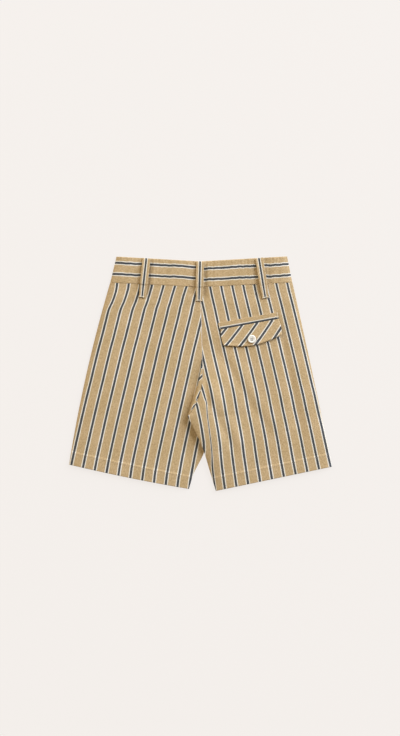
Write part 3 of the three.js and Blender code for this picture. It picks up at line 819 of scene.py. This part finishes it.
def flap_plan(share, down):
    flare = FLAP_FLARE * np.sin(math.pi * down / flap_depth(share)) * (share * 2 - 1)
    return pocket_plan(lerp(FLAP_INSET, POCKET_WIDTH, share) + flare, down)


def flap_under_z(share, down):
    x, y = flap_plan(share, down)
    hang = FLAP_DROOP * smooth(down, 4, FLAP_SIDE)
    lifted = FLAP_LIFTED_END * smooth(share, 0.86, 1) * smooth(down, 0, 14)
    return outer_z(x, y) + FLAP_BED_GAP + hang + lifted


def flap():
    def place(u, v):
        down = v * flap_depth(u)
        x, y = flap_plan(u, down)
        lean = FLAP_STRIPE_LEAN - FLAP_STRIPE_FAN * (u - 0.5)
        stripe = (x - FLAP_STRIPE_AT[0] - lean * (y - FLAP_STRIPE_AT[1])) / FLAP_STRIPE_RUN
        edge = flap_depth(u)
        thick = FLAP_CLOTH + FLAP_EDGE_TURN * smooth(down, edge - FLAP_TURN_STARTS, edge - FLAP_TURN_FULL)
        return x, y, flap_under_z(u, down), thick, stripe, (lean * x + y) * MM

    us, vs = shares(90, POCKET_WIDTH), shares(36, FLAP_POINT)
    return wall(us, vs, place, rounds=(0.8, 0.8, 0.2, 1.0), lip=0.15)


for name, made, flat in (("pocket_welt", welt(), (0.09, 0.0105)), ("pocket_flap", flap(), (0.092, 0.034))):
    piece = make_piece(name + "_cloth", [made], drill)
    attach(piece, "root")
    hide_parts(name)

# %% [markdown]
# Buttons
#
# The pocket button is an off-white four-hole button with a raised rim, glossy enough to catch the
# window light. Its section is turned about its axis, and small cylinders cut the holes. The
# waist button lies face down, so its solid only needs the material.

# %% Button material and buttons
def button_shell():
    n = Nodes("button_shell")
    place = n.node("ShaderNodeTexCoord").outputs["Object"]
    cloud = n.noise(place, 260.0, 2.0)
    n.to_shader("Base Color", n.mix(n.band(cloud, 0.3, 0.7), colour(231, 224, 212), colour(243, 238, 229)))
    n.to_shader("Normal", n.bump(cloud, 0.00008, 0.3))
    n.shader.inputs["Roughness"].default_value = 0.34
    n.shader.inputs["Coat Weight"].default_value = 0.2
    return n.material


BUTTON_SIDES, HOLE_SIDES, HOLE_RADIUS, HOLE_CIRCLE = 64, 20, 0.85, 1.9
# Each row is (radius, height), from the middle of the underside to the middle of the well
BUTTON_SECTION = [
    (4.7, 0.0), (5.5, 0.3), (6.0, 0.9), (6.1, 1.4), (5.95, 1.95), (5.6, 2.3), (5.1, 2.42), (4.6, 2.4),
    (4.1, 2.3), (3.6, 2.12), (3.0, 2.05),
]
WELL_TOP = BUTTON_SECTION[-1][1]


def turned(section, sides):
    """Points and faces of a closed solid turned about the z axis."""
    turn = np.arange(sides) * 2 * math.pi / sides
    rings = [(r * np.cos(turn), r * np.sin(turn), np.full(sides, z)) for r, z in section]
    points = np.concatenate([np.stack(ring, -1) for ring in rings])
    faces = [tuple(range(sides - 1, -1, -1))]
    for ring in range(len(section) - 1):
        for i in range(sides):
            first, beside = ring * sides + i, ring * sides + (i + 1) % sides
            faces.append((first, beside, beside + sides, first + sides))
    faces.append(tuple(range((len(section) - 1) * sides, len(section) * sides)))
    return points, faces


def solid_object(name, parts):
    points, faces, start = [], [], 0
    for part_points, part_faces in parts:
        points.append(part_points)
        faces += [tuple(corner + start for corner in face) for face in part_faces]
        start += len(part_points)
    mesh = bpy.data.meshes.new(name)
    mesh.from_pydata((np.concatenate(points) * MM).tolist(), [], faces)
    made = bpy.data.objects.new(name, mesh)
    bpy.context.scene.collection.objects.link(made)
    return made


def four_hole_button(name, place):
    button = solid_object(name, [turned(BUTTON_SECTION, BUTTON_SIDES)])
    hole, hole_faces = turned([(HOLE_RADIUS, -1), (HOLE_RADIUS, 5)], HOLE_SIDES)
    angles = [(i + 0.5) * math.pi / 2 for i in range(4)]
    offsets = [np.array([HOLE_CIRCLE * math.cos(a), HOLE_CIRCLE * math.sin(a), 0]) for a in angles]
    drills = solid_object("drills", [(hole + offset, hole_faces) for offset in offsets])
    cut = button.modifiers.new("holes", "BOOLEAN")
    cut.operation, cut.solver, cut.object = "DIFFERENCE", "EXACT", drills
    solid = bpy.data.meshes.new_from_object(button.evaluated_get(bpy.context.evaluated_depsgraph_get()))
    button.modifiers.clear()
    button.data = solid
    bpy.data.objects.remove(drills)
    solid.polygons.foreach_set("use_smooth", [True] * len(solid.polygons))
    solid.set_sharp_from_angle(angle=math.radians(35))
    solid.materials.append(shell)
    button.location = place
    return button


shell = button_shell()
waist_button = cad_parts["waist_button"]
waist_button.data.materials.clear()
waist_button.data.materials.append(shell)

button_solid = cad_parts["pocket_button"]
corners = [button_solid.matrix_world @ vertex.co for vertex in button_solid.data.vertices]
low, high = (np.array([pick(c[k] for c in corners) for k in range(3)]) for pick in (min, max))
BUTTON_PLACE = ((low[0] + high[0]) / 2, (low[1] + high[1]) / 2, low[2])
button = four_hole_button("pocket_button_shell", BUTTON_PLACE)
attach(button, "root")
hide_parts("pocket_button")

# %% [markdown]
# Sewing
#
# Stitches are what make flat shapes look sewn. Each one is a short thread, thickest in the middle,
# whose ends dive into the cloth. A row copies one small template along a line on the cloth and
# asks the height functions how high to lie, so it follows every fold. Bar tacks are the same
# thread laid side by side across the row.

# %% Thread and stitch rows
def sewing_thread(name, screen_colour):
    n = Nodes(name)
    place = n.node("ShaderNodeTexCoord").outputs["Object"]
    fibre = n.noise(n.stretch(place, 2200, 2200, 2200), 1.0, 2.0)
    pale = colour(*(min(255, c + 16) for c in screen_colour))
    n.to_shader("Base Color", n.mix(fibre, colour(*screen_colour), pale))
    n.to_shader("Normal", n.bump(fibre, 0.00005, 0.4))
    n.shader.inputs["Roughness"].default_value = 0.75
    n.shader.inputs["Sheen Weight"].default_value = 0.1
    return n.material


hem_thread = sewing_thread("hem_thread", (163, 143, 121))
tack_thread = sewing_thread("tack_thread", (222, 207, 180))
seam_thread = sewing_thread("seam_thread", (180, 152, 110))
button_thread = sewing_thread("button_thread", (112, 98, 78))

# Distance between stitches, length and radius of each
HEM_STITCH, BAND_STITCH = (3.0, 2.3, 0.16), (2.8, 2.1, 0.17)
# Length, distance between threads and radius of each
LOOP_TACK, POCKET_TACK = (1.4, 0.5, 0.24), (1.1, 0.5, 0.22)
THREAD_SIDES, THREAD_RINGS = 6, 6
THREAD_SPREAD = np.array([0.25, 0.8, 1.0, 1.0, 0.8, 0.25])
THREAD_RISE = np.array([-1.0, 0.1, 0.6, 0.6, 0.1, -1.0])


def stitches(starts, ends, radius, top_z):
    """Points and faces of one thread from each start to its end, lying on top_z(x, y)."""
    t = np.linspace(0, 1, THREAD_RINGS)[None, :, None]
    middle = starts[:, None, :] * (1 - t) + ends[:, None, :] * t
    run = ends - starts
    side = np.stack([-run[:, 1], run[:, 0]], -1) / np.hypot(run[:, 0], run[:, 1])[:, None]
    z = top_z(middle[..., 0], middle[..., 1]) + THREAD_RISE * radius
    turn = np.arange(THREAD_SIDES) * 2 * math.pi / THREAD_SIDES
    spread = (THREAD_SPREAD * radius)[None, :, None]
    xy = middle[:, :, None, :] + side[:, None, None, :] * (np.cos(turn) * spread)[..., None]
    height = z[:, :, None] + np.sin(turn) * spread
    points = np.concatenate([xy, height[..., None]], -1).reshape(-1, 3)
    ring, spoke = np.meshgrid(np.arange(THREAD_RINGS - 1), np.arange(THREAD_SIDES), indexing="ij")
    first = ring * THREAD_SIDES + spoke
    beside = ring * THREAD_SIDES + (spoke + 1) % THREAD_SIDES
    quads = np.stack([first, beside, beside + THREAD_SIDES, first + THREAD_SIDES], -1).reshape(-1, 4)
    step = THREAD_RINGS * THREAD_SIDES
    faces = (quads[None] + np.arange(len(starts))[:, None, None] * step).reshape(-1, 4)
    return points, faces, np.zeros((len(points), 2))


def along_line(line, pitch):
    """Points at even steps along a line of x and y, and the way the line runs at each."""
    length = np.concatenate([[0], np.cumsum(np.hypot(*np.diff(line, axis=0).T))])
    count = max(1, int(length[-1] / pitch))
    at = (np.arange(count) + 0.5) * length[-1] / count
    place = np.stack([np.interp(at, length, line[:, k]) for k in (0, 1)], -1)
    ahead = np.stack([np.interp(at + 0.1, length, line[:, k]) for k in (0, 1)], -1)
    behind = np.stack([np.interp(at - 0.1, length, line[:, k]) for k in (0, 1)], -1)
    way = ahead - behind
    return place, way / np.hypot(way[:, 0], way[:, 1])[:, None]


def stitch_row(line, top_z, pitch, length, radius):
    place, way = along_line(line, pitch)
    uneven = 1 + 0.12 * np.sin(np.arange(len(place)) * 2.4)[:, None]
    return stitches(place - way * length / 2 * uneven, place + way * length / 2 * uneven, radius, top_z)


def bar_tack(line, top_z, depth, pitch, radius):
    place, way = along_line(line, pitch)
    side = np.stack([-way[:, 1], way[:, 0]], -1)
    lean = way * 0.18
    return stitches(place - side * depth / 2 - lean, place + side * depth / 2 + lean, radius, top_z)


def add_sewing(name, rows, thread):
    piece = make_piece(name, rows, thread)
    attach(piece, "root")


# %% Rows on the hems, the band, the loops and the pocket
HEM_STITCH_SHARE, BAND_STITCH_UP = 1 - HEM_SHARE + 0.009, 1.7
LOOP_TACK_UP, LOOP_TACK_HALF, LOOP_TACK_LIFT = 1.5, 4.9, 0.45
BUTTON_THREAD_OFF, BUTTON_THREAD_RADIUS = 0.2, 0.18

for side, height in (("left", left_back_z), ("right", right_back_z)):
    u = np.linspace(0.006, 0.994, 120)
    line = np.stack(panel_plan(side, u, np.full_like(u, HEM_STITCH_SHARE)), -1)
    row = stitch_row(line, lambda x, y: height(x, y) + CLOTH + 2 * HEM_EXTRA, *HEM_STITCH)
    add_sewing("hem_stitches_" + side, [row], hem_thread)

for side, sign in (("left", -1), ("right", 1)):
    u = np.linspace(0.004, 0.985, 80)
    x = lerp(BAND_CENTRE_X, BAND_ENDS[side][1], u)
    line = np.stack([x, band_seam_y(x) + BAND_STITCH_UP], -1)
    row = stitch_row(line, lambda x, y: band_back_z(x, y) + BAND_CLOTH, *BAND_STITCH)
    add_sewing("band_stitches_" + side, [row], seam_thread)

for name, (top_x, foot_x, foot_y, _) in LOOPS.items():
    run = np.array([foot_x - top_x, foot_y - band_top_y(top_x)])
    run /= np.hypot(*run)
    across = np.array([-run[1], run[0]])
    foot = np.array([foot_x, foot_y]) - run * LOOP_TACK_UP
    line = np.stack([foot - across * LOOP_TACK_HALF, foot + across * LOOP_TACK_HALF])
    lie = LOOP_BED_GAP + LOOP_CLOTH + LOOP_TACK_LIFT
    tack = bar_tack(line, lambda x, y: outer_z(x, y) + lie, *LOOP_TACK)
    add_sewing(name + "_tack", [tack], tack_thread)

rows = []
for along in (1.0, POCKET_WIDTH - 1.0):
    line = np.stack([pocket_plan(along, -WELT_DEPTH - 0.3), pocket_plan(along, -0.6)])
    lie = WELT_BED_GAP + WELT_CLOTH
    rows.append(bar_tack(line, lambda x, y: outer_z(x, y) + lie, *POCKET_TACK))
add_sewing("pocket_tacks", rows, tack_thread)

middle = np.array(BUTTON_PLACE) / MM
reach = HOLE_CIRCLE * math.sqrt(0.5)
beside = (-BUTTON_THREAD_OFF, BUTTON_THREAD_OFF)
starts = np.array([middle[:2] + (-reach, side * reach + off) for side in (-1, 1) for off in beside])
ends = starts + (2 * reach, 0)
rows = [stitches(starts, ends, BUTTON_THREAD_RADIUS, lambda x, y: np.full_like(x, middle[2] + WELL_TOP))]
add_sewing("button_thread", rows, button_thread)

# %% [markdown]
# Table and light
#
# The table is a pale lit panel, so that it stays an even off-white and takes no more than a trace of
# shadow. Light comes from a wide soft window low on the right and above, which is cool, with a weaker
# warm one on the left, so each fold has a soft side. The warm world fills what neither reaches.

# %% Table and lights
TABLE_MM, TABLE_GLOW = 30000.0, 0.905
WINDOW_WATTS, WINDOW_TINT = 722, (0.9, 1.012, 1.19)
FILL_WATTS, FILL_TINT = 190, (1.0, 0.93, 0.78)
WORLD_TINT, WORLD_STRENGTH = (1.0, 0.86, 0.60, 1.0), 0.26

table_mesh = bpy.data.meshes.new("table")
half = TABLE_MM * MM / 2
table_corners = [(-half, -half, 0), (half, -half, 0), (half, half, 0), (-half, half, 0)]
table_mesh.from_pydata(table_corners, [], [(0, 1, 2, 3)])
table = bpy.data.objects.new("table", table_mesh)
bpy.context.scene.collection.objects.link(table)
table_paint = Nodes("table_paint")
table_paint.shader.inputs["Base Color"].default_value = colour(70, 68, 66)
table_paint.shader.inputs["Emission Color"].default_value = colour(245, 240, 236)
table_paint.shader.inputs["Emission Strength"].default_value = TABLE_GLOW
table_paint.shader.inputs["Roughness"].default_value = 0.9
table_mesh.materials.append(table_paint.material)


def area_light(name, place, target, size, watts, tint):
    light = bpy.data.lights.new(name, "AREA")
    light.shape = "SQUARE"
    light.size = size
    light.energy = watts
    light.color = tint
    lamp = bpy.data.objects.new(name, light)
    lamp.location = place
    lamp.rotation_mode = "QUATERNION"
    lamp.rotation_quaternion = (Vector(target) - Vector(place)).to_track_quat("-Z", "Y")
    bpy.context.scene.collection.objects.link(lamp)


bpy.context.scene.view_settings.view_transform = "Standard"
area_light("window_right", (4.3, 3.9, 2.7), (0, 0, 0), 4.8, WINDOW_WATTS, WINDOW_TINT)
area_light("window_left", (-4.3, 2.6, 2.9), (0, 0, 0), 4.0, FILL_WATTS, FILL_TINT)
world = bpy.data.worlds.new("studio")
bpy.context.scene.world = world
world.use_nodes = True
background = world.node_tree.nodes["Background"]
background.inputs["Color"].default_value = WORLD_TINT
background.inputs["Strength"].default_value = WORLD_STRENGTH
